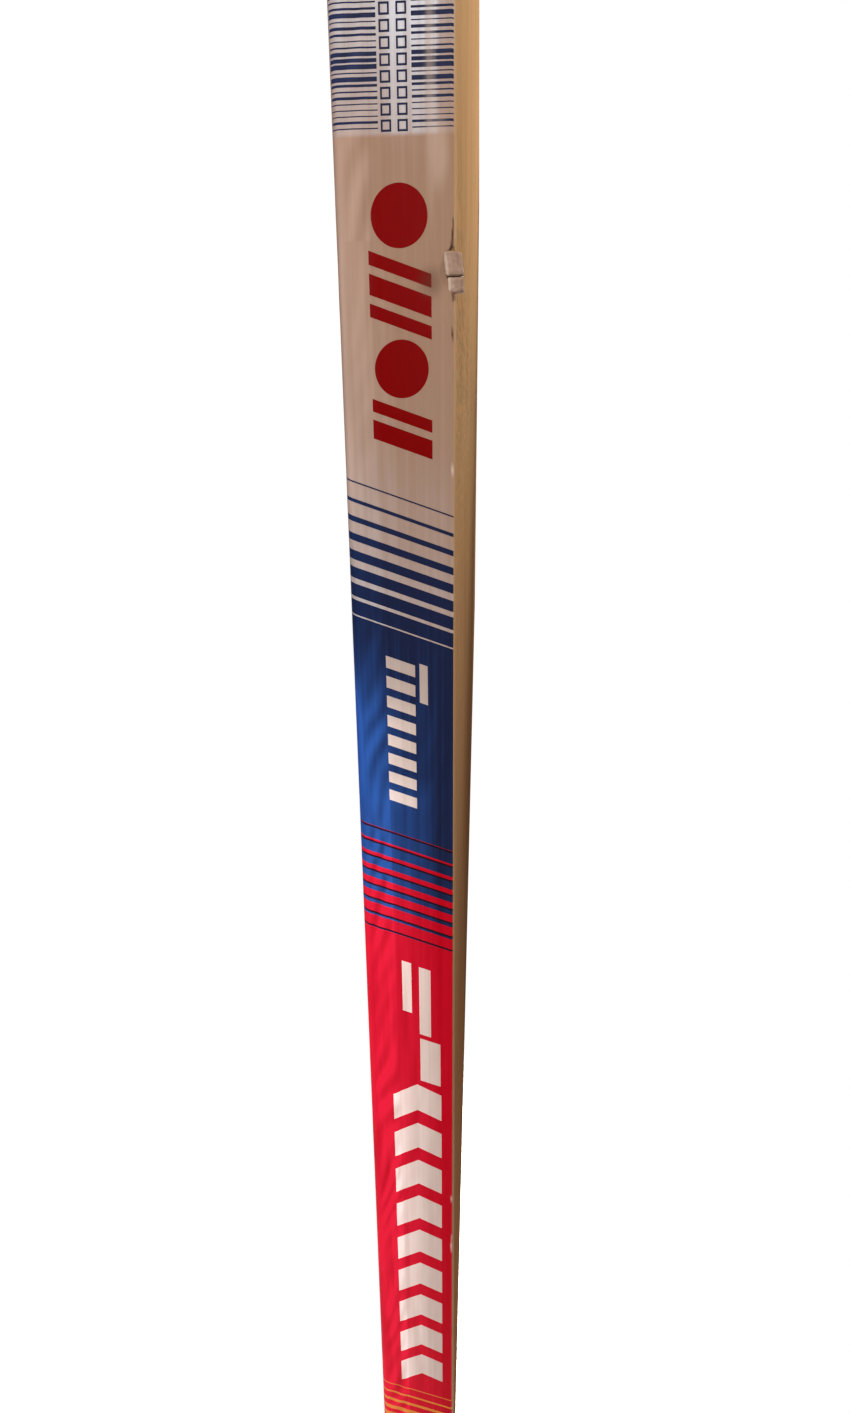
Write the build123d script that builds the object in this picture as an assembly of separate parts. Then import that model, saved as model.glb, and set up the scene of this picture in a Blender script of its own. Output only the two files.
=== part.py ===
from build123d import *
import os

# Two 5/8 in gypsum boards, taped face to face at their cut 4 ft ends
# X runs along the 8 ft length, Y across the 4 ft width, and Z up from the floor

os.makedirs("parts", exist_ok=True)

# Board, in millimetres
INCH = 25.4
BOARD_LENGTH = 96 * INCH
BOARD_WIDTH = 48 * INCH
BOARD_THICKNESS = 0.625 * INCH
TAPER_WIDTH = 60.0
TAPER_DEPTH = 1.6
FACE_FOLD_RADIUS = 2.4
BACK_FOLD_RADIUS = 1.4
LOWER_END_ROUND = 2.2
UPPER_END_ROUND = 1.2

# Bundling film, wrapped round each cut end
FILM_THICKNESS = 0.25
FILM_FLAP = 16.0
FILM_LENGTH = BOARD_WIDTH - 6.0

# Crushed spot on the upper corner of the front end
DENT_CENTRE_Y = -7.0
DENT_LENGTH = 13.0
DENT_DEPTH = 3.2
FILM_TEAR_MARGIN = 0.6

# Crumpled film in the crushed spot, two short rolls: first Y, last Y, radius, height of the axis
LONG_ROLL = (-2.0, -8.9, 2.5, 31.75)
SHORT_ROLL = (-8.3, -12.7, 2.35, 32.4)
ROLL_END_ROUND = 0.8

# Heights that follow from the stack
PAIR_BOTTOM = FILM_THICKNESS
PAIR_TOP = FILM_THICKNESS + 2 * BOARD_THICKNESS
FRONT_END_X = -BOARD_LENGTH / 2


def cross_section():
    """Section across the length: back flat on z = 0, face tapered along both long edges."""
    half = BOARD_WIDTH / 2
    outline = Plane.YZ * make_face(
        Polyline(
            (-half, 0),
            (half, 0),
            (half, BOARD_THICKNESS - TAPER_DEPTH),
            (half - TAPER_WIDTH, BOARD_THICKNESS),
            (-half + TAPER_WIDTH, BOARD_THICKNESS),
            (-half, BOARD_THICKNESS - TAPER_DEPTH),
            close=True,
        )
    )
    edges = outline.vertices().filter_by(lambda corner: abs(abs(corner.Y) - half) < 0.01)
    back_corners = edges.group_by(Axis.Z)[0]
    outline = fillet(back_corners, BACK_FOLD_RADIUS)
    edges = outline.vertices().filter_by(lambda corner: abs(abs(corner.Y) - half) < 0.01)
    face_corners = edges.group_by(Axis.Z)[-1]
    return fillet(face_corners, FACE_FOLD_RADIUS)


def side_section(length, bottom, top, lower_round, upper_round):
    """Rectangle in the XZ plane with rounded lower and upper corners; a radius of 0 stays square."""
    section = Plane.XZ * Pos(0, (bottom + top) / 2) * Rectangle(length, top - bottom)
    if lower_round:
        section = fillet(section.vertices().group_by(Axis.Z)[0], lower_round)
    if upper_round:
        section = fillet(section.vertices().group_by(Axis.Z)[-1], upper_round)
    return section


def board(end_round):
    """One board, back down on z = 0, with the back's edges at the cut ends rounded by handling."""
    body = extrude(cross_section(), BOARD_LENGTH / 2, both=True)
    handled = side_section(BOARD_LENGTH, 0, BOARD_THICKNESS, end_round, 0)
    return body & extrude(handled, BOARD_WIDTH, both=True)


def dent(margin):
    """Ball that bites into the upper corner of the front end, larger all round by the margin."""
    half_length = DENT_LENGTH / 2
    radius = (half_length**2 + DENT_DEPTH**2) / (2 * DENT_DEPTH)
    offset = (radius - DENT_DEPTH) / 2**0.5
    return Pos(FRONT_END_X - offset, DENT_CENTRE_Y, PAIR_TOP + offset) * Sphere(radius + margin)


def film_roll(first_y, last_y, radius, height):
    """Round-ended roll of crumpled film along the corner, no further out than the film's face."""
    axis_x = FRONT_END_X - FILM_THICKNESS + radius
    middle_y = (first_y + last_y) / 2
    roll = Pos(axis_x, middle_y, height) * Rot(90, 0, 0) * Cylinder(radius, first_y - last_y)
    return fillet(roll.edges().filter_by(GeomType.CIRCLE), ROLL_END_ROUND)


def end_film():
    """Film round the front end of the pair: a web over the cut ends and a flap on each back."""
    outside = side_section(
        BOARD_LENGTH + 2 * FILM_THICKNESS,
        0,
        PAIR_TOP + FILM_THICKNESS,
        LOWER_END_ROUND + FILM_THICKNESS,
        UPPER_END_ROUND + FILM_THICKNESS,
    )
    inside = side_section(BOARD_LENGTH, PAIR_BOTTOM, PAIR_TOP, LOWER_END_ROUND, UPPER_END_ROUND)
    sleeve = extrude(outside - inside, FILM_LENGTH / 2, both=True)
    flap_end = FRONT_END_X + FILM_FLAP
    keep = Pos(flap_end, 0, PAIR_TOP / 2) * Box(
        BOARD_LENGTH, BOARD_WIDTH, 4 * BOARD_THICKNESS, align=(Align.MAX, Align.CENTER, Align.CENTER)
    )
    return sleeve & keep


lower = Pos(0, 0, PAIR_BOTTOM) * board(LOWER_END_ROUND)
upper = Pos(0, 0, PAIR_TOP) * Rot(180, 0, 0) * board(UPPER_END_ROUND)
upper = upper - dent(0)
plain_film = end_film()
front_film = plain_film - dent(FILM_TEAR_MARGIN)
rear_film = mirror(plain_film, Plane.YZ)
crumpled_film = film_roll(*LONG_ROLL) + film_roll(*SHORT_ROLL) - upper - front_film

parts = {
    "sheet_lower": lower,
    "sheet_upper": upper,
    "end_tape_front": front_film,
    "end_tape_rear": rear_film,
    "crumpled_film": crumpled_film,
}
for node, shape in parts.items():
    solid = shape.solid()
    solid.label = node
    export_step(solid, f"parts/{node}.step")
    box = solid.bounding_box()
    print(node, "volume", round(solid.volume), "size", [round(v, 2) for v in box.size])
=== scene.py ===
# %% [markdown]
# # Two taped drywall sheets
# A pair of gypsum boards leaves the mill face to face, with a printed plastic film wrapped round
# each cut end. The boards come ready-made from the frame, and this lesson gives them their papers,
# builds the film as a thin rippled sheet, and prints a plain striped design on it with nodes.

# %% Load the frame
from math import atan2, cos, hypot, pi, radians, sin

import bmesh
import bpy
from mathutils import Matrix, Vector, noise


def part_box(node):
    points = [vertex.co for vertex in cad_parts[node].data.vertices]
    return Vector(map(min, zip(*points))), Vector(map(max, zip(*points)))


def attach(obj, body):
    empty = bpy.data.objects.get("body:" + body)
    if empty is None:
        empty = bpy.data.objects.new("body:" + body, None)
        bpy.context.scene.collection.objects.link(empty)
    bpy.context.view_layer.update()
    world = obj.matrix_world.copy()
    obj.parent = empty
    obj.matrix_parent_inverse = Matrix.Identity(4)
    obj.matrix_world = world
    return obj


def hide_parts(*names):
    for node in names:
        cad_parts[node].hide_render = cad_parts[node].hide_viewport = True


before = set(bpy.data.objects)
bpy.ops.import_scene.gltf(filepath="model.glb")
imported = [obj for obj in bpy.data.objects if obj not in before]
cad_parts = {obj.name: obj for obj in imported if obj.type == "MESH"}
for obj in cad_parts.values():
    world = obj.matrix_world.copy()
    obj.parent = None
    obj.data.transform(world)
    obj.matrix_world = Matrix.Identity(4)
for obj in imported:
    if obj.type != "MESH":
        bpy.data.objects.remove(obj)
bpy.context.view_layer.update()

# %% [markdown]
# ## Measures
# Everything hangs on the boards and on the film's own box, so each size below is read from the
# frame or follows from it. Lengths are in millimetres, and one factor turns them to metres.

# %% Measures read from the frame
MM = 0.001

board_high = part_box("sheet_lower")[1]
film_low, film_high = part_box("end_tape_front")
HALF_LENGTH = board_high.x / MM
HALF_WIDTH = board_high.y / MM
STACK_TOP = film_high.z / MM
FILM_FRONT_X = film_low.x / MM
FLAP_END_X = film_high.x / MM
FILM_HALF = film_high.y / MM
FILM_GAP = -HALF_LENGTH - FILM_FRONT_X
MIDDLE_Z = STACK_TOP / 2
print("stack", round(STACK_TOP, 2), "film gap", round(FILM_GAP, 3), "film", round(2 * FILM_HALF, 1), "long")

# %% [markdown]
# ## Camera
# The photograph was taken from close by, with a wide lens, looking along the cut end. The camera is
# rolled on its side: the picture's right is up, so that the brown back shows as a sliver there.

# %% Camera
PHOTO_HEIGHT_PX = 1413
FOCAL_PX = 783
SENSOR_MM = 36
CAMERA_DISTANCE = 238.0
CAMERA_Y = -50.0
CAMERA_Z = 39.15
TILT, YAW, ROLL = (radians(angle) for angle in (18.93, -3.67, 0.669))

ahead = Vector((cos(TILT) * cos(YAW), -sin(TILT) * cos(YAW), sin(YAW)))
level_right = (Vector((0, 0, 1)) - ahead * ahead.z).normalized()
level_up = level_right.cross(ahead)
right = level_right * cos(ROLL) + level_up * sin(ROLL)
up = right.cross(ahead)

camera_data = bpy.data.cameras.new("camera")
camera_data.sensor_width = SENSOR_MM
camera_data.lens = FOCAL_PX / PHOTO_HEIGHT_PX * SENSOR_MM
camera_data.clip_start = 0.01
camera = bpy.data.objects.new("camera", camera_data)
bpy.context.scene.collection.objects.link(camera)
turn = Matrix((right, up, -ahead)).transposed().to_4x4()
camera_place = Vector((-HALF_LENGTH - CAMERA_DISTANCE, CAMERA_Y, CAMERA_Z)) * MM
camera.matrix_world = Matrix.Translation(camera_place) @ turn
bpy.context.scene.camera = camera
bpy.context.scene.view_settings.view_transform = "Standard"
print("camera at", [round(v, 3) for v in camera_place], "lens", round(camera_data.lens, 2))

# %% [markdown]
# ## Helpers
# Colours are written as they look on a screen, and one function turns them into the linear values
# that a renderer adds up. One more adds a node of any kind, sets it, links it and hands back the
# output that is wanted, so that a line of nodes reads like a line of sums.


# %% Colour and node helpers
def linear(hex_colour):
    """Linear red, green, blue and alpha of an sRGB hex colour."""
    channels = [int(hex_colour[i : i + 2], 16) / 255 for i in (1, 3, 5)]
    return [c / 12.92 if c <= 0.04045 else ((c + 0.055) / 1.055) ** 2.4 for c in channels] + [1.0]


def add(tree, kind, inputs=(), out=0, **settings):
    """The output of a new node. inputs maps a socket to a value, a hex colour or a feeding socket."""
    node = tree.nodes.new("ShaderNode" + kind)
    for name, value in settings.items():
        setattr(node, name, value)
    pairs = inputs.items() if isinstance(inputs, dict) else enumerate(inputs)
    for socket, value in pairs:
        if isinstance(value, bpy.types.NodeSocket):
            tree.links.new(value, node.inputs[socket])
        elif isinstance(value, str):
            node.inputs[socket].default_value = linear(value)
        else:
            node.inputs[socket].default_value = value
    return node.outputs[out] if node.outputs else node


def material(name):
    """An empty node material and its tree."""
    made = bpy.data.materials.new(name)
    made.use_nodes = True
    made.node_tree.nodes.clear()
    return made, made.node_tree


def per_mm(*sizes):
    """A pattern's scale from the sizes of its marks in millimetres, with 0 for an axis left out."""
    return tuple(1 / size if size else 0.0 for size in sizes)


print("mid grey is", round(linear("#808080")[0], 3), "in linear light")

# %% [markdown]
# ## Floor and background
# The picture has a pure white ground. Rays that come straight from the camera, or by a reflection,
# see the world as white, and the floor with a glow added to its own light. The lit floor is white
# then, and a shadow stays. The glow grows far out, where the lamps don't reach. All other rays meet
# an ordinary pale floor and a soft warm sky.

# %% Floor and world
FLOOR_SIZE = 40.0
FLOOR_GLOW = 0.87
GLOW_NEAR, GLOW_FAR = 2.0, 4.5


def seen_directly(tree):
    """1 for rays from the camera, a reflection or a clear surface, and 0 for diffuse light."""
    path = add(tree, "LightPath").node.outputs
    seen = add(tree, "Math", [path["Is Camera Ray"], path["Is Glossy Ray"]], operation="MAXIMUM")
    return add(tree, "Math", [seen, path["Is Transmission Ray"]], operation="MAXIMUM")


floor_material, tree = material("painted_floor")
floor_paint = add(tree, "BsdfDiffuse", {"Color": "#e6e4e0"})
far = add(tree, "VectorMath", [add(tree, "TexCoord", out="Object")], out="Value", operation="LENGTH")
far = add(tree, "MapRange", [far, GLOW_NEAR, GLOW_FAR, FLOOR_GLOW, 1.0])
glow = add(tree, "Math", [seen_directly(tree), far], operation="MULTIPLY")
floor_glow = add(tree, "Emission", {"Color": "#ffffff", "Strength": glow})
add(tree, "OutputMaterial", {"Surface": add(tree, "AddShader", [floor_paint, floor_glow])})

bm = bmesh.new()
bmesh.ops.create_grid(bm, x_segments=1, y_segments=1, size=FLOOR_SIZE / 2)
floor_mesh = bpy.data.meshes.new("floor")
bm.to_mesh(floor_mesh)
bm.free()
floor = bpy.data.objects.new("floor", floor_mesh)
floor.data.materials.append(floor_material)
bpy.context.scene.collection.objects.link(floor)

world = bpy.data.worlds.new("soft_sky")
bpy.context.scene.world = world
world.use_nodes = True
tree = world.node_tree
tree.nodes.clear()
sky = add(tree, "Background", {"Color": "#ecb090", "Strength": 0.1})
white = add(tree, "Background", {"Color": "#ffffff", "Strength": 1.0})
add(tree, "OutputWorld", {"Surface": add(tree, "MixShader", [seen_directly(tree), sky, white])})
print("floor", FLOOR_SIZE, "m wide")


# %% [markdown]
# ## Lamps
# A wide soft box stands in for a window, low in front of the cut end, so that little of its light
# reaches the back. A spot high over the far side lights the back, and its soft rim crosses the
# boards: the brown paper is bright beside the far half of the film and falls into shade towards the
# near long edge, as in the photograph. A faint warm bounce fills the near corner of the front end.
# The other lamps serve the views from behind and beside.


# %% Lamps
def aimed(name, lamp, place, aim):
    """Puts a lamp at place, in metres, facing aim."""
    holder = bpy.data.objects.new(name, lamp)
    holder.location = place
    holder.rotation_euler = (Vector(aim) - Vector(place)).to_track_quat("-Z", "Y").to_euler()
    bpy.context.scene.collection.objects.link(holder)


for name, place, aim, width, height, watts, spread, colour in (
    ("window_box", (-3.6, 0.9, 0.35), (-1.2, -0.1, 0.02), 1.8, 0.5, 53.5, 180, "#fffafa"),
    ("rear_box", (3.6, 0.9, 0.2), (1.2, 0.0, 0.02), 1.8, 0.36, 34, 180, "#fff8f2"),
    ("side_box", (0.5, -3.4, 0.22), (0.3, -0.6, 0.02), 2.4, 0.4, 44, 180, "#fff8f2"),
    ("warm_bounce", (-1.2, -0.86, 0.32), (-1.28, -0.25, 0.03), 0.4, 0.3, 0.25, 95, "#ffd2bc"),
):
    box = bpy.data.lights.new(name, "AREA")
    box.shape = "RECTANGLE"
    box.size, box.size_y = width, height
    box.energy = watts
    box.spread = radians(spread)
    box.color = linear(colour)[:3]
    aimed(name, box, place, aim)

for name, place, aim, cone, blend, softness, watts in (
    ("high_spot", (-0.9, 2.6, 3.0), (-0.9, 2.6, 0.0), 86.9, 0.125, 0.2, 665),
    ("rear_spot", (2.3, -0.9, 1.9), (1.2, -0.25, 0.0), 60, 1.0, 0.4, 130),
):
    spot = bpy.data.lights.new(name, "SPOT")
    spot.spot_size = radians(cone)
    spot.spot_blend = blend
    spot.shadow_soft_size = softness
    spot.energy = watts
    spot.color = linear("#fff6ea")[:3]
    aimed(name, spot, place, aim)

# %% [markdown]
# ## Papers and core
# A board is gypsum between two papers. The back paper is made from recycled fibre: brown, mottled
# and matt. The ivory face paper wraps the long edges and laps a little way on to the back. The core
# shows only where the board was cut or crushed. One material holds all three, told apart by place.

# %% Board material
LAP_WIDTH = 14.0
SKIN = 0.45
END_SKIN = 0.1
DENT_Y = -7.0
DENT_REACH = 8.0
RUBBED_FAR = 70.0
CLOUD_MM = 90
FIBRE_MM = 1.2
STREAK_MM = (40, 2.5, 2.5)
SCUFF_MM = (22, 3, 3)


def bare_core(tree, x, y, z):
    """1 where the core shows: on the cut ends, and inside the crushed spot."""
    depth = add(tree, "Math", [x], operation="ABSOLUTE")
    cut = add(tree, "Math", [depth, HALF_LENGTH - END_SKIN], operation="GREATER_THAN")
    beside = add(tree, "Math", [y, DENT_Y, DENT_REACH], operation="COMPARE")
    under = add(tree, "Math", [z, STACK_TOP - FILM_GAP - SKIN], operation="LESS_THAN")
    close = add(tree, "Math", [x, -HALF_LENGTH + DENT_REACH], operation="LESS_THAN")
    crushed = add(tree, "Math", [beside, under], operation="MULTIPLY")
    crushed = add(tree, "Math", [crushed, close], operation="MULTIPLY")
    return add(tree, "Math", [cut, crushed], operation="MAXIMUM")


def board_material():
    """Recycled brown back paper, ivory face paper on the long edges, and gypsum core at cuts."""
    made, tree = material("gypsum_board_papers")
    place = add(tree, "TexCoord", out="Object")
    in_mm = add(tree, "VectorMath", {0: place, "Scale": 1 / MM}, operation="SCALE")
    x, y, z = add(tree, "SeparateXYZ", [in_mm]).node.outputs

    # Back paper: cloudy tone, fibre flecks and faint machine streaks along the length
    cloud = add(tree, "TexNoise", {"Vector": in_mm, "Scale": 1 / CLOUD_MM, "Detail": 3.0, "Roughness": 0.6})
    brown = add(tree, "MapRange", [cloud, 0.3, 0.7])
    brown = add(tree, "Mix", {0: brown, 6: "#b8986e", 7: "#c6a77e"}, out=2, data_type="RGBA")
    stretch = add(tree, "Mapping", {"Vector": in_mm, "Scale": per_mm(*STREAK_MM)})
    streaks = add(tree, "TexNoise", {"Vector": stretch, "Scale": 1.0, "Detail": 2.0})
    fibre = add(tree, "TexNoise", {"Vector": in_mm, "Scale": 1 / FIBRE_MM, "Detail": 4.0, "Roughness": 0.7})
    grain = add(tree, "Math", [streaks, fibre], operation="ADD")
    shade = add(tree, "MapRange", [grain, 0.6, 1.4, 0.86, 1.12])

    # Beside the crushed spot the paper is scuffed, and rubbed redder
    scuff = add(tree, "Mapping", {"Vector": in_mm, "Scale": per_mm(*SCUFF_MM)})
    scuff = add(tree, "TexNoise", {"Vector": scuff, "Scale": 1.0, "Detail": 3.0, "Roughness": 0.7})
    scuff = add(tree, "MapRange", [scuff, 0.35, 0.65, -0.32, 0.14])
    from_dent = add(tree, "Math", [y, DENT_Y], operation="SUBTRACT")
    from_dent = add(tree, "Math", [from_dent], operation="ABSOLUTE")
    near_dent = add(tree, "MapRange", [from_dent, DENT_REACH, RUBBED_FAR, 1.0, 0.15])
    shade = add(tree, "Math", [scuff, near_dent, shade], operation="MULTIPLY_ADD")
    rubbed = add(tree, "Math", [scuff, near_dent], operation="MULTIPLY")
    rubbed = add(tree, "MapRange", [rubbed, -0.06, 0.1, 0.0, 0.5])
    brown = add(tree, "Mix", {0: rubbed, 6: brown, 7: "#c08058"}, out=2, data_type="RGBA")
    toned = add(tree, "VectorMath", {0: brown, "Scale": shade}, operation="SCALE")

    # Face paper laps on to the back beside each long edge
    offset = add(tree, "Math", [y], operation="ABSOLUTE")
    wavy = add(tree, "Math", [cloud, 3.0, offset], operation="MULTIPLY_ADD")
    lap = add(tree, "Math", [wavy, HALF_WIDTH - LAP_WIDTH], operation="GREATER_THAN")
    papers = add(tree, "Mix", {0: lap, 6: toned, 7: "#cdbf9f"}, out=2, data_type="RGBA")
    finish = add(tree, "Mix", {0: bare_core(tree, x, y, z), 6: papers, 7: "#d8d4cb"}, out=2, data_type="RGBA")

    relief = add(tree, "Bump", {"Strength": 0.25, "Distance": 0.0002, "Height": fibre})
    paper = {"Base Color": finish, "Roughness": 0.9, "Specular IOR Level": 0.0, "Normal": relief}
    add(tree, "OutputMaterial", {"Surface": add(tree, "BsdfPrincipled", paper)})
    return made


board_finish = board_material()
for name in ("sheet_lower", "sheet_upper"):
    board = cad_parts[name]
    board.data.materials.clear()
    board.data.materials.append(board_finish)
print("boards finished with", board_finish.name)

# %% [markdown]
# ## Film: the print
# The real film is polyethylene, printed on a press with four or five flat inks. The print here is a
# plain design in such inks: bars, discs, chevrons and slanted stripes. Every point of the film knows
# how far it lies across and along the flat film, so the print bends round the folds as ink does.
# One number per place says which ink lies there, and two ramps turn it into a colour: a painted lit copy of
# each ink for where the film stands off, and a painted shaded copy for where it lies flat on the cut core.
# The fields follow each other by number, so bare film has two numbers, before the blue and after amber.

# %% Print layout, in millimetres along the film
STRIPE_PITCH = 5.1
SLANT = 0.35
START = -12 * STRIPE_PITCH
PERIOD = 125 * STRIPE_PITCH
BARS_END = -24.8
GRADED = tuple(
    (first * STRIPE_PITCH, last * STRIPE_PITCH) for first, last in ((13, 21), (35, 43), (91, 99), (107, 113))
)

# Each ink in two copies: a painted lit shade, then a painted shaded one
INKS = {
    "bare": ("#cbb09e", "#997b64"),
    "blue": ("#3669c2", "#1b2341"),
    "red": ("#ff2748", "#bd0a20"),
    "amber": ("#f7a650", "#d98a36"),
    "bare again": ("#cbb09e", "#997b64"),
    "navy": ("#33426f", "#232a44"),
    "dark red": ("#860003", "#780001"),
    "cream": ("#fff6f3", "#c6b7ad"),
    "overprint": ("#3a1a2c", "#1c1018"),
}
INK_NAMES = list(INKS)


def ink(name):
    """The number that stands for an ink."""
    return float(INK_NAMES.index(name))


def level_curve(tree, distance, levels):
    """Straight-line rise and fall between (distance, level) stops."""
    low, high = levels[0][0], levels[-1][0]
    place = add(tree, "MapRange", [distance, low, high])
    curve = add(tree, "ValToRGB", [place])
    elements = curve.node.color_ramp.elements
    while len(elements) < len(levels):
        elements.new(1.0)
    for element, (stop, level) in zip(elements, levels):
        element.position = (stop - low) / (high - low)
        element.color = (level, level, level, 1)
    return curve


def ink_colour(tree, number, shade):
    """The colour of each ink number, in its painted lit (0) or its painted shaded (1) copy."""
    factor = add(tree, "Math", [number, 0.5], operation="ADD")
    factor = add(tree, "Math", [factor, len(INKS)], operation="DIVIDE")
    colour = add(tree, "ValToRGB", [factor])
    colour.node.color_ramp.interpolation = "CONSTANT"
    elements = colour.node.color_ramp.elements
    while len(elements) < len(INKS):
        elements.new(1.0)
    for index, (element, shades) in enumerate(zip(elements, INKS.values())):
        element.position = index / len(INKS)
        element.color = linear(shades[shade])
    return colour


print(len(INKS), "inks, and the print repeats every", round(PERIOD, 1), "mm")

# %% [markdown]
# Shapes are masks, 1 inside and 0 outside. A Math node set to Compare is 1 within a distance of a
# value, which makes a band. Bands multiply into blocks, and the greater of two masks joins them.


# %% Masks
def laid_over(tree, number, mask, name):
    """The ink numbers after one more ink is printed where the mask is 1."""
    return add(tree, "Mix", {0: mask, 2: number, 3: ink(name)}, data_type="FLOAT")


def any_of(tree, masks):
    """1 where any of the masks is 1."""
    total = masks[0]
    for mask in masks[1:]:
        total = add(tree, "Math", [total, mask], operation="MAXIMUM")
    return total


def all_of(tree, masks):
    """1 where all of the masks are 1."""
    total = masks[0]
    for mask in masks[1:]:
        total = add(tree, "Math", [total, mask], operation="MULTIPLY")
    return total


def near_any(tree, distance, bands):
    """1 where the distance lies inside any band, each (middle, half width)."""
    return any_of(tree, [add(tree, "Math", [distance, *band], operation="COMPARE") for band in bands])


def blocks(tree, across, along, places):
    """1 inside any block, each (middle across, middle along, height across, length along)."""
    masks = []
    for middle, place, height, length in places:
        rows = near_any(tree, across, [(middle, height / 2)])
        masks.append(all_of(tree, [rows, near_any(tree, along, [(place, length / 2)])]))
    return any_of(tree, masks)


# %% [markdown]
# Stripes that thicken step by step carry one ink into the next, and a ladder of uneven bars, with
# two columns of small rings in its middle, closes the far end.

# %% Stripes and bars
BAR_PITCH = 1.32
BAR_COLUMNS = ((-9.9, 6.1), (10.4, 5.4))
MARK_PITCH = 3.5
MARK_COLUMNS = (0.4, 2.15)
MARK_RING = (1.1, 0.25)
TRAP_WIDTH = 0.07


def graded_stripes(tree, slanted):
    """The ink number of each field, with slanted stripes that thicken from one field to the next."""
    cell = add(tree, "Math", [slanted, STRIPE_PITCH], operation="DIVIDE")
    saw = add(tree, "Math", [cell], operation="FRACT")
    index = add(tree, "Math", [cell], operation="FLOOR")
    stripe = add(tree, "Math", [index, STRIPE_PITCH, STRIPE_PITCH / 2], operation="MULTIPLY_ADD")
    number = ink("bare")
    growth = 0.0
    for low, high in GRADED:
        rise = add(tree, "MapRange", [stripe, low - 0.3 * STRIPE_PITCH, high + 0.3 * STRIPE_PITCH])
        before = add(tree, "Math", [stripe, high], operation="LESS_THAN")
        growth = add(tree, "Math", [rise, before, growth], operation="MULTIPLY_ADD")
        past = add(tree, "Math", [stripe, high], operation="GREATER_THAN")
        number = add(tree, "Math", [number, past], operation="ADD")
    stripes = add(tree, "Math", [saw, growth], operation="LESS_THAN")
    number = add(tree, "Math", [number, stripes], operation="ADD")

    # Where red is laid over blue, the two inks overlap in a dark line
    trap = add(tree, "Math", [saw, growth, TRAP_WIDTH], operation="COMPARE")
    low, high = GRADED[1]
    blue_to_red = near_any(tree, stripe, [((low + high) / 2, (high - low) / 2)])
    return laid_over(tree, number, all_of(tree, [trap, blue_to_red]), "overprint")


def bar_ladder(tree, across, wrapped):
    """1 on two columns of uneven bars, and on two columns of small square rings between them."""
    cell = add(tree, "Math", [wrapped, BAR_PITCH], operation="DIVIDE")
    index = add(tree, "Math", [cell], operation="FLOOR")
    chance = add(tree, "TexWhiteNoise", {"W": index}, noise_dimensions="1D")
    half = add(tree, "MapRange", [add(tree, "Math", [chance, 2.0], operation="POWER"), 0.0, 0.9, 0.1, 0.42])
    saw = add(tree, "Math", [cell], operation="FRACT")
    bars = add(tree, "Math", [saw, 0.5, half], operation="COMPARE")
    bars = all_of(tree, [bars, near_any(tree, across, BAR_COLUMNS)])

    middle, apart = MARK_COLUMNS
    off = add(tree, "Math", [across, middle], operation="SUBTRACT")
    off = add(tree, "Math", [add(tree, "Math", [off], operation="ABSOLUTE"), apart], operation="SUBTRACT")
    step = add(tree, "Math", [wrapped, MARK_PITCH, 0.0], operation="WRAP")
    step = add(tree, "Math", [step, MARK_PITCH / 2], operation="SUBTRACT")
    reach = [add(tree, "Math", [value], operation="ABSOLUTE") for value in (off, step)]
    rings = near_any(tree, add(tree, "Math", reach, operation="MAXIMUM"), [MARK_RING])
    zone = near_any(tree, wrapped, [((START + BARS_END) / 2, (BARS_END - START) / 2)])
    return all_of(tree, [any_of(tree, [bars, rings]), zone])


print("bars every", BAR_PITCH, "mm, stripes every", STRIPE_PITCH, "mm")

# %% [markdown]
# Larger shapes sit between, one row in the middle of each field. Discs and slanted blocks stand on
# the bare film, pale blocks on the blue, and blocks with a row of chevrons on the red.

# %% Larger shapes
DISCS = ((1.2, -6.0), (1.2, 31.5))
DISC_RADIUS = 7.6
DARK_BARS = ((6.2, 3.4), (12.6, 5.2), (19.0, 3.4), (43.4, 3.4), (49.8, 5.2))
DARK_BLOCKS = tuple((1.2, middle, 17.0, length) for middle, length in DARK_BARS)
BLUE_BLOCKS = tuple((-0.9, 118.6 + 6.6 * i, 9.2, 3.9) for i in range(8)) + ((6.4, 122.0, 2.6, 13.0),)
SMALL_BLOCKS = ((-1.0, 241.0, 3.4, 22.0), (5.6, 245.5, 4.2, 30.0), (7.4, 272.5, 7.6, 20.0))
CHEVRON_PITCH, CHEVRON_LENGTH = 19.2, 12.6
CHEVRON_START, CHEVRON_REACH = 285.8, 172.8
CHEVRON_MIDDLE, CHEVRON_HALF, CHEVRON_LEAN = 2.2, 9.3, 0.55


def discs(tree, across, wrapped):
    """1 inside each disc."""
    masks = []
    for middle, place in DISCS:
        flat = add(tree, "CombineXYZ", [across, wrapped])
        reach = add(tree, "VectorMath", [flat, (middle, place, 0.0)], out="Value", operation="DISTANCE")
        masks.append(add(tree, "Math", [reach, DISC_RADIUS], operation="LESS_THAN"))
    return any_of(tree, masks)


def chevrons(tree, across, wrapped):
    """1 on a row of chevrons that point back along the film."""
    bend = add(tree, "Math", [across, CHEVRON_MIDDLE], operation="SUBTRACT")
    bend = add(tree, "Math", [bend], operation="ABSOLUTE")
    bent = add(tree, "Math", [bend, -CHEVRON_LEAN, wrapped], operation="MULTIPLY_ADD")
    bent = add(tree, "Math", [bent, CHEVRON_START], operation="SUBTRACT")
    saw = add(tree, "Math", [bent, CHEVRON_PITCH, 0.0], operation="WRAP")
    tooth = add(tree, "Math", [saw, CHEVRON_LENGTH], operation="LESS_THAN")
    row = near_any(tree, bend, [(0.0, CHEVRON_HALF)])
    return all_of(tree, [tooth, row, near_any(tree, bent, [(CHEVRON_REACH / 2, CHEVRON_REACH / 2)])])


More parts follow.
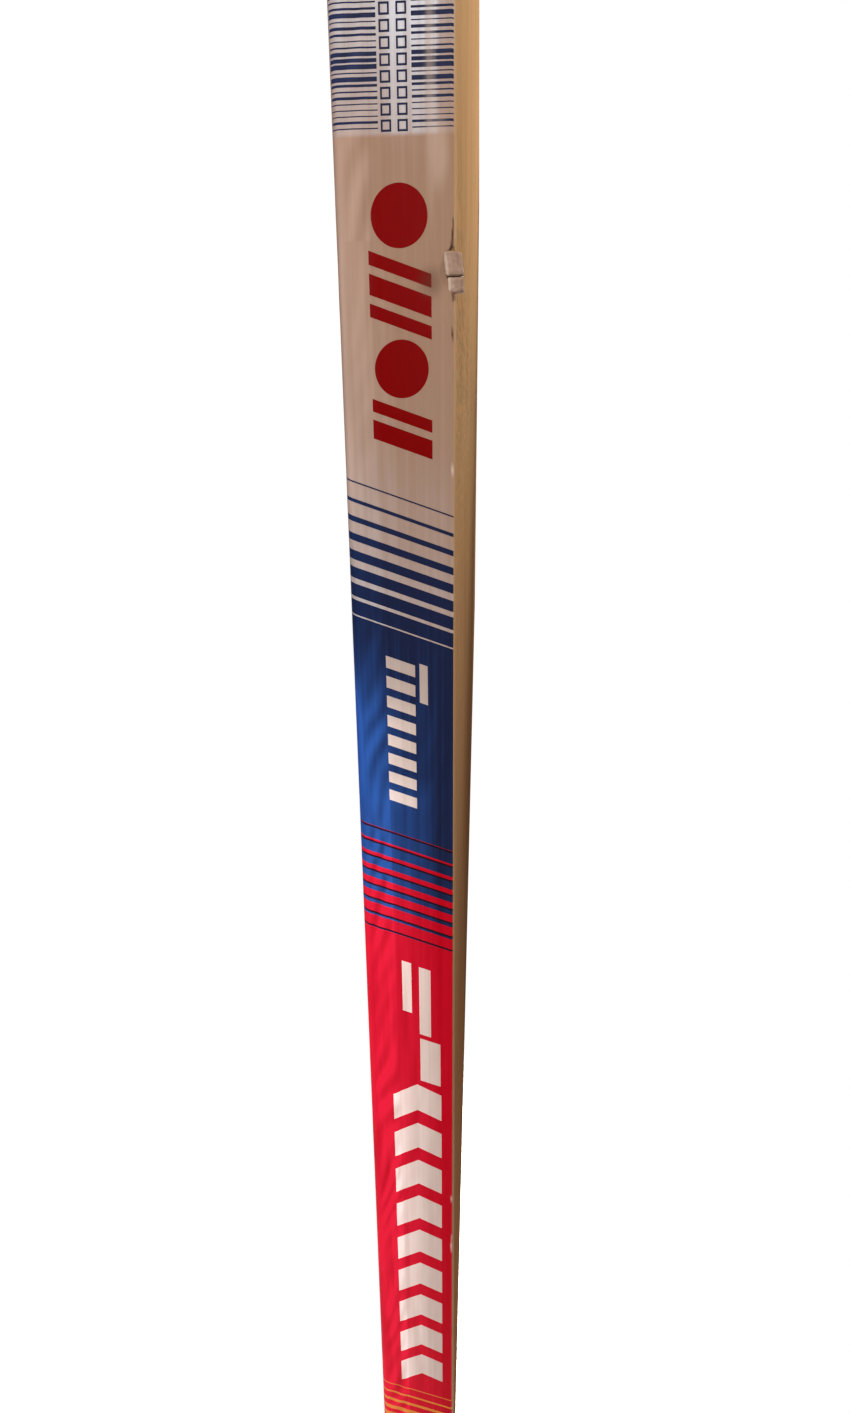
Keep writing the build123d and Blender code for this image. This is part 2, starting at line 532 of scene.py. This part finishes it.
def printed_inks(tree, across, wrapped):
    """The ink number at each place of the flat film."""
    slanted = add(tree, "Math", [across, -SLANT, wrapped], operation="MULTIPLY_ADD")
    slanted = add(tree, "Math", [slanted, START + PERIOD, START], operation="WRAP")
    number = graded_stripes(tree, slanted)
    number = laid_over(tree, number, bar_ladder(tree, across, wrapped), "navy")
    dark = any_of(tree, [discs(tree, across, wrapped), blocks(tree, across, slanted, DARK_BLOCKS)])
    number = laid_over(tree, number, dark, "dark red")
    pale = [blocks(tree, across, slanted, BLUE_BLOCKS + SMALL_BLOCKS), chevrons(tree, across, wrapped)]
    return laid_over(tree, number, any_of(tree, pale), "cream")


print(len(DISCS), "discs,", len(DARK_BLOCKS + BLUE_BLOCKS + SMALL_BLOCKS), "blocks and a row of chevrons")

# %% [markdown]
# ## Film: the light in it
# Stretched film is satin, with fine lengthwise tension lines. Its lower part stands off the core beyond a
# lengthwise crease. The light on the film is painted into its colour: beyond the crease the inks are painted
# lit, most where a ripple lifts the film, and where it lies flat they are painted in shade, with painted
# highlight patches and a painted sheen along the tension lines. A white haze over the bars, which thins out
# over the first stripes, is partly a white under-print and partly painted sheen. Each of these effects is a
# curve of (place, strength) stops, across or along the film in millimetres.

# %% Film light and haze
CREASE = (0.0, 450.0, -6.5, -3.9)
# Painted light levels across the film where it lies flat and where it stands off, how far each holds along
# it, and a painted glow along it
FLAT_PAINTED_LIGHT = (
    (-12.0, 0.9), (-9.5, 0.84), (-8.5, 0.76), (-7.7, 0.44), (-5.0, 0.34), (-1.2, 0.24), (0.2, 0.1),
    (6.2, 0.03), (22.0, 0.0),
)
LOOSE_PAINTED_LIGHT = (
    (-12.0, 0.74), (-10.8, 0.78), (-7.8, 0.76), (-1.0, 0.8), (-0.1, 0.76), (0.3, 0.46), (6.2, 0.36),
    (11.2, 0.2), (17.2, 0.03), (22.0, 0.0),
)
LOOSENESS = (
    (START, 0.1), (-20.0, 0.0), (104.0, 0.0), (130.0, 0.12), (156.0, 0.15), (166.0, 0.85), (180.0, 1.0),
    (465.0, 1.0), (577.0, 0.0),
)
GLOW_ALONG = (
    (START, 0.6), (-27.0, 0.6), (-23.0, 1.0), (72.0, 1.0), (104.0, 0.4), (120.0, 0.55), (130.0, 1.2),
    (142.0, 1.75), (158.0, 1.65), (170.0, 1.1), (577.0, 1.0),
)
HAZE_ACROSS = (
    (-17.0, 0.62), (-10.4, 0.78), (-7.0, 0.62), (-2.0, 0.78), (0.9, 0.98), (9.4, 1.0), (11.2, 0.9),
    (12.2, 0.35), (17.0, 0.25),
)
HAZE_ALONG = (
    (START, 1.0), (-50.0, 1.0), (-38.0, 0.7), (BARS_END, 0.52), (BARS_END + 1.0, 0.05), (-13.0, 0.0),
    (0.0, 0.0),
)
VEIL_ACROSS = ((-16.0, 0.95), (-8.0, 0.8), (0.0, 0.5), (14.0, 0.42))
VEIL_ALONG = (
    (START, 0.0), (-24.0, 0.0), (-20.0, 0.05), (30.0, 0.09), (50.0, 0.14), (58.0, 0.2), (68.0, 0.32),
    (84.0, 0.44), (96.0, 0.75), (108.0, 0.8), (577.0, 0.0),
)
TENSION_MM = (1.5, 170.0, 0)
HAZE_MM = (1.9, 90.0, 0)
PATCH_MM = (4.0, 55.0, 0)
PATCH_TURN = (0, 0, 0.07)
RIPPLE_GLOW = 2.35


def painted_film_light(tree, flat, across, along, wrapped, tension):
    """Painted light on the film, from 0 for painted shade where it lies flat on the core to 1 for painted
    glow where it stands off.
    """
    crease = add(tree, "MapRange", [along, *CREASE])
    past = add(tree, "Math", [across, crease], operation="SUBTRACT")
    calm = level_curve(tree, past, FLAT_PAINTED_LIGHT)
    loose = level_curve(tree, past, LOOSE_PAINTED_LIGHT)
    lean = add(tree, "Mix", {0: level_curve(tree, wrapped, LOOSENESS), 2: calm, 3: loose}, data_type="FLOAT")
    lean = add(tree, "Math", [lean, level_curve(tree, wrapped, GLOW_ALONG)], operation="MULTIPLY")
    # Painted highlight patches in drifting noise, stronger where the film is painted lit
    drift = add(tree, "Mapping", {"Vector": flat, "Scale": per_mm(*PATCH_MM), "Rotation": PATCH_TURN})
    highlight_patches = add(tree, "TexNoise", {"Vector": drift, "Scale": 1.0, "Detail": 1.0})
    highlight_patches = add(tree, "MapRange", [highlight_patches, 0.35, 0.65, -0.3, 0.3])
    share = add(tree, "Math", [lean, 0.9, 0.03], operation="MULTIPLY_ADD")
    highlight_patches = add(tree, "Math", [highlight_patches, share], operation="MULTIPLY")
    # A painted sheen along the tension lines
    lines = add(tree, "MapRange", [tension, 0.3, 0.7, -0.08, 0.08])
    # Where a ripple lifts the film it is painted brighter
    lift = add(tree, "Attribute", out="Fac", attribute_name="film_lift")
    lit = add(tree, "Math", [lift, RIPPLE_GLOW, lean], operation="MULTIPLY_ADD")
    for part in (highlight_patches, lines):
        lit = add(tree, "Math", [lit, part], operation="ADD")
    return add(tree, "Clamp", [lit])


def film_haze_and_sheen(tree, flat, across, wrapped):
    """How much white haze shows, partly under-print and partly painted sheen, in lengthwise streaks under the
    bars and the first stripes.
    """
    wide = add(tree, "Mapping", {"Vector": flat, "Scale": per_mm(*HAZE_MM)})
    streaks = add(tree, "TexNoise", {"Vector": wide, "Scale": 1.0, "Detail": 2.0})
    streaks = add(tree, "MapRange", [streaks, 0.35, 0.65, 0.72, 1.12])
    white = []
    for over, down in ((HAZE_ACROSS, HAZE_ALONG), (VEIL_ACROSS, VEIL_ALONG)):
        white.append(all_of(tree, [level_curve(tree, across, over), level_curve(tree, wrapped, down)]))
    return all_of(tree, [any_of(tree, white), streaks])


print("film glows beyond a crease at", CREASE[2], "to", CREASE[3], "mm from its middle")

# %% [markdown]
# ## Film: the plastic
# The material puts it together. The printed colours lie between their painted lit and painted shaded copies
# by the painted light in the film. Then come the haze, partly under-print and partly painted sheen, the clear
# edge past the print, where the brown paper shows through, and the marks on points: whitened nicks and
# creases, painted highlight streaks, and painted shade in the splits and in the hollow that the crushed spot
# left.

# %% Film material
# Painted light: less painted glow on the first blue stripes, and the cream ink painted brighter by place
BLUE_LESS_PAINTED_GLOW = ((66.0, 0.85), (98.0, 0.8), (108.0, 0.5), (120.0, 0.0))
PALE_PAINTED_LIGHT_ACROSS = ((-10.0, 1.33), (-3.0, 1.3), (3.0, 1.2), (7.0, 1.13), (14.0, 1.1))
PALE_PAINTED_LIGHT_ALONG = (
    (START, 1.0), (114.0, 0.68), (128.0, 0.74), (138.0, 0.92), (170.0, 1.0), (225.0, 1.1), (335.0, 1.0),
    (463.0, 0.95),
)
SCUFFED_ALONG = ((-24.0, 0.1), (-4.0, 1.0), (16.0, 1.0), (40.0, 0.1))
SCUFFED_MM = (1.6, 5.0, 0)
PRINT_TOP = 15.9
PRINT_BOTTOM = -17.6
BARE_BOTTOM_RISE = 1.2
CLEAR_OVER_PAPER = "#b8966c"


def film_material():
    """Printed polyethylene film: satin finish with painted sheen and shade, lengthwise tension lines, clear
    beyond the print.
    """
    made, tree = material("printed_polyethylene_film")
    flat = add(tree, "Attribute", out="Vector", attribute_name="film_mm")
    across, along, wear_and_painted_light = add(tree, "SeparateXYZ", [flat]).node.outputs
    wrapped = add(tree, "Math", [along, START + PERIOD, START], operation="WRAP")
    number = printed_inks(tree, across, wrapped)
    drawn = add(tree, "Mapping", {"Vector": flat, "Scale": per_mm(*TENSION_MM)})
    tension = add(tree, "TexNoise", {"Vector": drawn, "Scale": 1.0, "Detail": 2.0})
    lit = painted_film_light(tree, flat, across, along, wrapped, tension)

    # Painted light: the first blue stripes get less of the painted glow, and the cream ink is painted
    # brighter on its lower side
    blue = near_any(tree, number, [(ink("blue"), 0.4)])
    blue_painted_dimming = all_of(tree, [blue, level_curve(tree, wrapped, BLUE_LESS_PAINTED_GLOW), lit])
    lit = add(tree, "Math", [lit, blue_painted_dimming], operation="SUBTRACT")
    shades = {0: lit, 6: ink_colour(tree, number, 1), 7: ink_colour(tree, number, 0)}
    colour = add(tree, "Mix", shades, out=2, data_type="RGBA")
    pale = near_any(tree, number, [(ink("cream"), 0.4)])
    cream_painted_light = all_of(tree, [level_curve(tree, across, PALE_PAINTED_LIGHT_ACROSS), level_curve(tree, wrapped, PALE_PAINTED_LIGHT_ALONG)])
    cream_painted_light = add(tree, "Mix", {0: pale, 2: 1.0, 3: cream_painted_light}, data_type="FLOAT")
    colour = add(tree, "VectorMath", {0: colour, "Scale": cream_painted_light}, operation="SCALE")

    # White haze, partly under-print and partly painted sheen, shows only where no ink lies on it
    bare = add(tree, "Math", [number, 0.5], operation="LESS_THAN")
    haze_and_sheen = add(tree, "Math", [film_haze_and_sheen(tree, flat, across, wrapped), bare], operation="MULTIPLY")
    colour = add(tree, "Mix", {0: haze_and_sheen, 6: colour, 7: "#cdd2da"}, out=2, data_type="RGBA")

    # Clear film over the brown paper, streaked where the paper was scuffed near the crushed spot
    upper = add(tree, "MapRange", [across, PRINT_TOP, PRINT_TOP + 0.3])
    lower_end = add(tree, "Math", [bare, BARE_BOTTOM_RISE, PRINT_BOTTOM], operation="MULTIPLY_ADD")
    lower = add(tree, "Math", [across, lower_end], operation="LESS_THAN")
    clear = add(tree, "Math", [upper, lower], operation="MAXIMUM")
    scuffed = add(tree, "Mapping", {"Vector": flat, "Scale": per_mm(*SCUFFED_MM)})
    scuffed = add(tree, "TexNoise", {"Vector": scuffed, "Scale": 1.0, "Detail": 3.0, "Roughness": 0.7})
    near_dent = level_curve(tree, along, SCUFFED_ALONG)
    shade = add(tree, "MapRange", [scuffed, 0.3, 0.7, -0.28, 0.28])
    shade = add(tree, "Math", [shade, near_dent, 1.0], operation="MULTIPLY_ADD")
    paper = add(tree, "RGB")
    paper.default_value = linear(CLEAR_OVER_PAPER)
    paper = add(tree, "VectorMath", {0: paper, "Scale": shade}, operation="SCALE")
    colour = add(tree, "Mix", {0: clear, 6: colour, 7: paper}, out=2, data_type="RGBA")
    roughness = add(tree, "MapRange", [clear, 0.0, 1.0, 0.34, 0.8])

    # Marks on the points: whitened creases and nicks, painted highlights, and painted shade in the splits,
    # the hollow and the folds
    white = add(tree, "Clamp", [wear_and_painted_light])
    colour = add(tree, "Mix", {0: white, 6: colour, 7: "#d6c6b8"}, out=2, data_type="RGBA")
    dark = add(tree, "Clamp", [add(tree, "Math", [wear_and_painted_light, -1.0], operation="MULTIPLY")])
    colour = add(tree, "Mix", {0: dark, 6: colour, 7: "#4a3527"}, out=2, data_type="RGBA")

    relief = add(tree, "Bump", {"Strength": 0.3, "Distance": 0.0001, "Height": tension})
    plastic = {"Base Color": colour, "Roughness": roughness, "Specular IOR Level": 0.022, "Normal": relief}
    add(tree, "OutputMaterial", {"Surface": add(tree, "BsdfPrincipled", plastic)})
    return made


film_finish = film_material()
print("film nodes", len(film_finish.node_tree.nodes))

# %% [markdown]
# ## Film: the sheet
# A film is best begun as its folded outline. Four corner points make the outline, an extrusion along
# the end makes three flat bands, and two bevels round the folds. Only then is it cut fine enough to
# carry ripples, and finer still beside the crushed spot.

# %% Folded band
LOWER_FOLD = 2.45
UPPER_FOLD = 1.45
FILM_THICKNESS = 0.1
WEB_LOW = LOWER_FOLD - MIDDLE_Z
WEB_HIGH = STACK_TOP - UPPER_FOLD - MIDDLE_Z
FILM_ROWS = 505
SAME = 0.01


def unrolled(x, z):
    """How far a point of the folded outline lies across the flat film, from the web's middle."""
    if WEB_LOW <= z - MIDDLE_Z <= WEB_HIGH:
        return z - MIDDLE_Z
    lower = z < MIDDLE_Z
    radius = LOWER_FOLD if lower else UPPER_FOLD
    height = radius - z if lower else z - (STACK_TOP - radius)
    inward = x - (FILM_FRONT_X + radius)
    past = radius * pi / 2 + inward if inward > 0 else radius * atan2(height, -inward)
    return WEB_LOW - past if lower else WEB_HIGH + past


def smooth(value, low, high):
    """0 below low, 1 above high, and a smooth rise between."""
    t = min(1.0, max(0.0, (value - low) / (high - low)))
    return t * t * (3 - 2 * t)


def runs_across(edge):
    """True for an edge of the outline, not one that runs along the film."""
    return abs(edge.verts[0].co.y - edge.verts[1].co.y) < SAME


def folded_band():
    """The film's outer surface in millimetres, three bands with rounded folds, cut lengthwise."""
    bm = bmesh.new()
    corners = [(FLAP_END_X, 0), (FILM_FRONT_X, 0), (FILM_FRONT_X, STACK_TOP), (FLAP_END_X, STACK_TOP)]
    points = [bm.verts.new((x, FILM_HALF, z)) for x, z in corners]
    outline = [bm.edges.new(pair) for pair in zip(points, points[1:])]
    grown = bmesh.ops.extrude_edge_only(bm, edges=outline)["geom"]
    moved = [v for v in grown if isinstance(v, bmesh.types.BMVert)]
    bmesh.ops.translate(bm, verts=moved, vec=(0, -2 * FILM_HALF, 0))
    for radius, height in ((LOWER_FOLD, 0), (UPPER_FOLD, STACK_TOP)):
        level = [e for e in bm.edges if all(abs(v.co.z - height) < SAME for v in e.verts)]
        fold = [e for e in level if len(e.link_faces) == 2]
        bmesh.ops.bevel(bm, geom=fold, offset=radius, segments=7, profile=0.5, affect="EDGES", material=-1)
    along = [e for e in bm.edges if not runs_across(e)]
    bmesh.ops.subdivide_edges(bm, edges=along, cuts=FILM_ROWS - 1, use_grid_fill=True)
    for shortest, cuts in ((20, 35), (10, 5)):
        wide = [e for e in bm.edges if runs_across(e) and e.calc_length() > shortest]
        bmesh.ops.subdivide_edges(bm, edges=wide, cuts=cuts, use_grid_fill=True)
    return bm


def cut_rows(bm, places):
    """Cuts the band across at each place along it."""
    for place in places:
        near = [f for f in bm.faces if min(v.co.y for v in f.verts) < place < max(v.co.y for v in f.verts)]
        edges = list(dict.fromkeys(e for f in near for e in f.edges))
        verts = list(dict.fromkeys(v for f in near for v in f.verts))
        plane = {"plane_co": (0, place, 0), "plane_no": (0, 1, 0)}
        bmesh.ops.bisect_plane(bm, geom=verts + edges + near, dist=1e-4, **plane)


print("web from", round(WEB_LOW, 2), "to", round(WEB_HIGH, 2), "mm across the film")

# %% [markdown]
# ## Film: the ripples
# The film is only taut where it lies on the core. Below the crease it stands off a little, and
# slanted ripples run across it, weak beside the bars and full in the colours. They are small moves
# of the film's points along their normals, from a wandering sine and some noise.

# %% Film relief
SET_IN = 0.09
BELOW_BOX = 0.03
STAND_OFF = 0.1
RIPPLE = 0.14
RIPPLE_SPACING = 17.0
RIPPLE_SLANT = 2.36
RIPPLE_RISE = (70, 150)
TENSION = 0.012
FLAP_WAVES = 0.03


def film_relief(across, along, seed):
    """How far the film stands off its resting shape, and its ripple alone, in millimetres."""
    low, high, first, last = CREASE
    crease = first + (last - first) * min(1.0, max(0.0, (along - low) / (high - low)))
    wander = noise.noise(Vector((across / 14.0, along / 40.0, seed)))
    phase = (along + RIPPLE_SLANT * across) / RIPPLE_SPACING + 0.9 * wander
    strength = RIPPLE * (0.3 + 0.7 * smooth(noise.noise(Vector((3.0, along / 45.0, seed))), -0.3, 0.3))
    loose = 1 - 0.92 * smooth(across, crease - 1.2, crease + 0.8)
    rippled = 0.2 + 0.8 * smooth(along % PERIOD, *RIPPLE_RISE)
    ripple = loose * rippled * strength * sin(phase * 2 * pi)
    lines = TENSION * noise.noise(Vector((across / 1.4, along / 60.0, seed + 4.0)))
    web = smooth(across, WEB_LOW - 1.5, WEB_LOW + 2.5) * (1 - smooth(across, WEB_HIGH - 2.5, WEB_HIGH + 0.5))
    flap = FLAP_WAVES * noise.noise(Vector((across / 6.0, along / 9.0, seed + 9.0))) * (1 - web)
    return (loose * STAND_OFF + ripple + lines) * web + flap, ripple * web


print("ripples", RIPPLE_SPACING, "mm apart and at most", RIPPLE, "mm high")

# %% [markdown]
# ## Film: the crushed spot
# Something hard struck the upper corner. The film was pressed into the hollow, split a little along the
# corner on both sides of it, and its slack stands up as two short stiff folds. The hollow is the bite of a
# ball, as in the board, the film is laid into it, and splits and creases are marks on points: the splits are
# painted shade, not cut, and a painted shade darkens the film in the hollow beside the folds.

# %% Crushed spot
BALL_RADIUS = 8.2
BALL_OFFSET = 3.536
HOLLOW_SHARE = 0.75
HOLLOW_GAP = 0.12
BALL_CENTRE = Vector((-HALF_LENGTH - BALL_OFFSET, DENT_Y, STACK_TOP - FILM_GAP + BALL_OFFSET))
# Splits, drawn as dark lines of painted shade rather than cut
SPLITS = (
    ((15.7, -5.2), (15.2, 2.6), 0.1, 0.5),
    ((15.5, 12.6), (15.8, 14.8), 0.3, 0.12),
    ((15.4, 21.8), (15.5, 24.6), 0.3, 0.3),
)
# Whitened nicks along the corner, then two painted highlight streaks on the web
WHITENED_AND_HIGHLIGHTS = (
    (15.6, 58.4, 0.6, 1.6, 0.8),
    (15.6, 345.0, 0.6, 2.0, 0.8),
    (15.7, 367.0, 0.5, 1.2, 0.8),
    (15.6, 371.4, 0.7, 3.6, 0.8),
    (9.7, -36.0, 1.5, 36.0, 0.24),
    (11.6, -20.0, 3.4, 10.0, 0.26),
)
# Painted shade on the film in the hollow beside the folds
HOLLOW_SHADE = (9.6, 9.8, 5.2, 5.8)
HOLLOW_SHADE_DARK = 0.42


def laid_into_hollow(place):
    """The place moved part of the way from the ball's centre towards the crushed core."""
    reach = place - BALL_CENTRE
    gap = BALL_RADIUS - HOLLOW_GAP - reach.length
    if gap <= 0:
        return place
    return BALL_CENTRE + reach.normalized() * (reach.length + gap * HOLLOW_SHARE * smooth(gap, 0.0, 1.0))


def split_at(across, along):
    """1 in the middle of a split, and 0 away from all of them."""
    deepest = 0.0
    for (a0, b0), (a1, b1), first, last in SPLITS:
        t = (along - b0) / (b1 - b0)
        if 0 <= t <= 1:
            off = abs(across - (a0 + (a1 - a0) * t)) / (first + (last - first) * t)
            deepest = max(deepest, 1 - smooth(off, 0.5, 1.2))
    return deepest


def mark_at(across, along):
    """Whitening (above 0) at nicks and painted highlights along ridges, or painted shade (below 0) in the
    splits and in the hollow.
    """
    whiter = 0.0
    for a0, b0, half_across, half_along, most in WHITENED_AND_HIGHLIGHTS:
        off = hypot((across - a0) / half_across, (along - b0) / half_along)
        whiter = max(whiter, most * (1 - smooth(off, 0.4, 1.1)))
    a0, b0, half_across, half_along = HOLLOW_SHADE
    off = hypot((across - a0) / half_across, (along - b0) / half_along)
    hollow_shade = HOLLOW_SHADE_DARK * (1 - smooth(off, 0.1, 1.0))
    return whiter - max(hollow_shade, split_at(across, along))


print(len(SPLITS), "splits and", len(WHITENED_AND_HIGHLIGHTS), "whitened marks")

# %% [markdown]
# ## Film: both ends
# Both ends get the same band with other noise, and only the front one has the crushed spot. The
# rear one is built as a front film and mirrored by a negative scale, so its faces are turned back.

# %% Film at both ends
CUTS_FROM, CUT_STEP, CUT_COUNT = -17.0, 0.5, 48


def film_piece(name, seed, damaged, mirrored):
    """One end's film as a thin closed sheet, at the front end or mirrored to the rear."""
    bm = folded_band()
    if damaged:
        cut_rows(bm, [CUTS_FROM + CUT_STEP * i for i in range(CUT_COUNT)])
    flat = bm.verts.layers.float_vector.new("film_mm")
    lift = bm.verts.layers.float.new("film_lift")
    bm.normal_update()
    web = next(face for face in bm.faces if abs(face.normal.x) > 0.99)
    if web.normal.x > 0:
        bmesh.ops.reverse_faces(bm, faces=bm.faces)
        bm.normal_update()
    for vert in bm.verts:
        across, along = unrolled(vert.co.x, vert.co.z), -vert.co.y
        vert[flat] = (across, along, mark_at(across, along) if damaged else 0.0)
        relief, vert[lift] = film_relief(across, along, seed)
        on_web = smooth(across, WEB_LOW - 2.5, WEB_LOW + 1.5)
        on_web *= 1 - smooth(across, WEB_HIGH - 1.5, WEB_HIGH + 1.5)
        vert.co += vert.normal * (relief - SET_IN * on_web - BELOW_BOX)
        if damaged:
            vert.co = laid_into_hollow(vert.co)
    if mirrored:
        bmesh.ops.scale(bm, verts=bm.verts, vec=(-1, 1, 1))
        bmesh.ops.reverse_faces(bm, faces=bm.faces)
    bmesh.ops.scale(bm, verts=bm.verts, vec=(MM, MM, MM))
    piece = finished_piece(bm, name)
    shell = piece.modifiers.new("film_thickness", "SOLIDIFY")
    shell.thickness = FILM_THICKNESS * MM
    shell.offset = -1
    return piece


def finished_piece(bm, name):
    """An object from a bmesh in metres, in printed film, riding on the boards."""
    for face in bm.faces:
        face.smooth = True
    mesh = bpy.data.meshes.new(name)
    bm.to_mesh(mesh)
    bm.free()
    piece = bpy.data.objects.new(name, mesh)
    bpy.context.scene.collection.objects.link(piece)
    piece.data.materials.append(film_finish)
    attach(piece, "root")
    print(name, len(mesh.polygons), "faces")
    return piece


front_film = film_piece("front_end_film", 1.0, True, False)
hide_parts("end_tape_front")
rear_film = film_piece("rear_end_film", 7.0, False, True)
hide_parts("end_tape_rear")

# %% [markdown]
# ## Film: the two folds
# Each fold is a short strap of doubled film that stands on the corner. It starts as a cylinder along the
# corner with bevelled ends and is cut into rings. Every ring is squared off into a soft strap with a dished
# front, mottled, and it leans a little. Its edges are whitened, the lower one most, partly as creased film
# and partly as a painted highlight, and the strap is painted darker towards its upper side.

# %% Crumpled folds
FOLDS = (
    {"first": -2.6, "last": -8.35, "deep": 2.3, "high": 2.6, "middle": 31.75, "lean": 0.15, "seed": 4.0},
    {"first": -8.75, "last": -12.4, "deep": 2.2, "high": 2.3, "middle": 32.4, "lean": 0.04, "seed": 9.0},
)
FOLD_RINGS = 14
FOLD_PROUD = 0.45
FOLD_END_ROUND = 0.6
SQUARENESS = 0.62
DISH = 0.3
WAIST = 0.06


def squared(value):
    """A cosine or sine pushed outwards, which squares a circle with round corners."""
    return abs(value) ** SQUARENESS * (1 if value > 0 else -1)


def shaped_fold(vert, flat, fold):
    """Moves one point of a cylinder on to the strap's form and marks its wear and painted light there."""
    middle_x = FILM_FRONT_X - FOLD_PROUD + fold["deep"]
    half = (fold["first"] - fold["last"]) / 2
    along = vert.co.y - (fold["first"] + fold["last"]) / 2
    angle = atan2(vert.co.z - fold["middle"], middle_x - vert.co.x)
    radius = hypot(vert.co.z - fold["middle"], middle_x - vert.co.x) / fold["high"]
    across, front = squared(sin(angle)), squared(cos(angle))
    crease = noise.noise(Vector((across * 1.7, along * 0.22, fold["seed"] + front)))
    waist = 1 - WAIST * (1 - (along / half) ** 2)
    dish = DISH * max(0.0, front) * max(0.0, 1 - across * across)
    x = middle_x - (fold["deep"] * front - dish + 0.09 * crease) * radius
    z = fold["middle"] + (fold["high"] * across * waist + 0.1 * crease) * radius - fold["lean"] * along
    vert.co = Vector((x, vert.co.y + 0.25 * noise.noise(Vector((across, front, fold["seed"] + 2.0))), z))
    # Whitened edges, the lower one most, partly creased film and partly painted highlight, and painted shade
    # towards the upper side
    edge = 0.72 * smooth(-across, 0.45, 0.85) + 0.15 * smooth(across, 0.6, 0.9)
    mottled = 0.3 * noise.noise(Vector((across * 3.0, along * 1.1, fold["seed"] + 5.0 + front)))
    wear_and_painted_light = edge - 0.1 - 0.2 * across + 0.2 * crease + mottled
    vert[flat] = (9.0 + 3.0 * across, 58.0 - 0.3 * along, max(-0.4, wear_and_painted_light))


def crumpled_folds(name):
    """Both folds in one mesh, within half a millimetre of the frame's own folds."""
    bm = bmesh.new()
    flat = bm.verts.layers.float_vector.new("film_mm")
    for fold in FOLDS:
        length = fold["first"] - fold["last"]
        middle_y = (fold["first"] + fold["last"]) / 2
        middle = (FILM_FRONT_X - FOLD_PROUD + fold["deep"], middle_y, fold["middle"])
        turned = Matrix.Translation(middle) @ Matrix.Rotation(pi / 2, 4, "X")
        shape = {"cap_ends": True, "segments": 48, "radius1": fold["high"], "radius2": fold["high"]}
        made = bmesh.ops.create_cone(bm, depth=length, matrix=turned, **shape)["verts"]
        rims = [e for e in dict.fromkeys(e for v in made for e in v.link_edges) if runs_across(e)]
        soft = {"offset": FOLD_END_ROUND, "segments": 4}
        bmesh.ops.bevel(bm, geom=rims, **soft, profile=0.5, affect="EDGES", material=-1)
        sides = [e for e in bm.edges if abs(e.verts[0].co.y - e.verts[1].co.y) > length / 2]
        bmesh.ops.subdivide_edges(bm, edges=sides, cuts=FOLD_RINGS, use_grid_fill=True)
        for vert in [v for v in bm.verts if v[flat].length == 0]:
            shaped_fold(vert, flat, fold)
    bmesh.ops.scale(bm, verts=bm.verts, vec=(MM, MM, MM))
    return finished_piece(bm, name)


folds = crumpled_folds("crumpled_film_folds")
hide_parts("crumpled_film")
